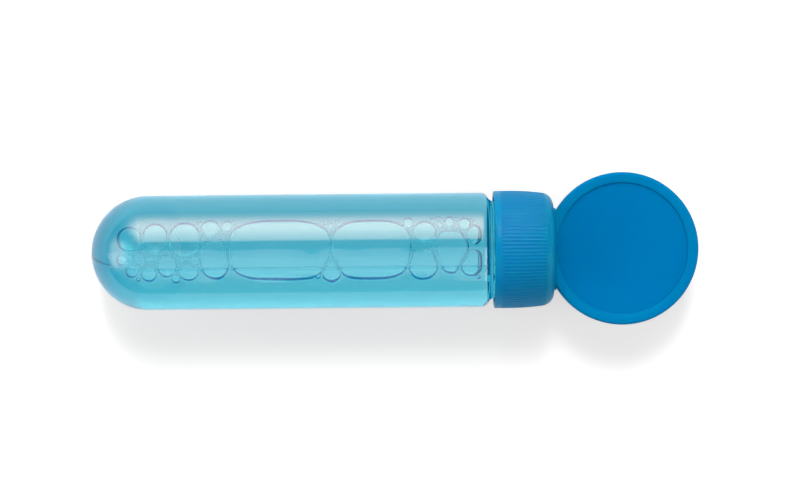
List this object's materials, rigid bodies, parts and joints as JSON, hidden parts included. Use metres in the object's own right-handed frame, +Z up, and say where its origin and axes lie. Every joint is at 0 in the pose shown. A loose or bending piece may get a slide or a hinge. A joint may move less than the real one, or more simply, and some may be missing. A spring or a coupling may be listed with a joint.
{
  "type": "bubble wand",
  "caption": "Clear round-ended tube of bubble solution, closed by a ribbed screw cap that carries a flat disc handle and, inside, a grooved ring wand on a long stem.",
  "frame": {"origin": "under the middle of the whole, on the surface that the part lies on, with the wand closed", "axes": "+X along the tube's line, from its dome towards the disc; +Z up, the way the disc's upper face looks; +Y across"},
  "size_m": [0.1271, 0.032, 0.0246],
  "materials": {
    "clear_blue_plastic": "gloss",
    "soap_solution": "gloss",
    "cap_blue_plastic": "satin",
    "disc_blue_plastic": "satin",
    "wand_plastic": "satin",
    "white_foam": "matte"
  },
  "bodies": {
    "tube": {"tube": "clear_blue_plastic", "soap_solution": "soap_solution"},
    "seal": {"seal_washer": "white_foam"},
    "wand": {"bubble_wand": "wand_plastic"},
    "cap": {"screw_cap": "cap_blue_plastic", "disc_handle": "disc_blue_plastic"}
  },
  "joints": [
    {"name": "wand_draw", "type": "slide", "parent": "tube", "child": "seal", "axis": [1, 0, 0], "range_m": [0, 0.095], "deforming": ["soap_solution"]},
    {"name": "cap_lift", "type": "slide", "parent": "seal", "child": "wand", "axis": [1, 0, 0], "range_m": [0, 0.006]},
    {"name": "cap_turn", "type": "hinge", "parent": "wand", "child": "cap", "pos_m": [0.02637, 0, 0.0123], "axis": [1, 0, 0], "range_deg": [0, 720]}
  ],
  "couplings": [
    {"joint": "cap_lift", "follows": "cap_turn", "m_per_rad": 0.00047746}
  ]
}
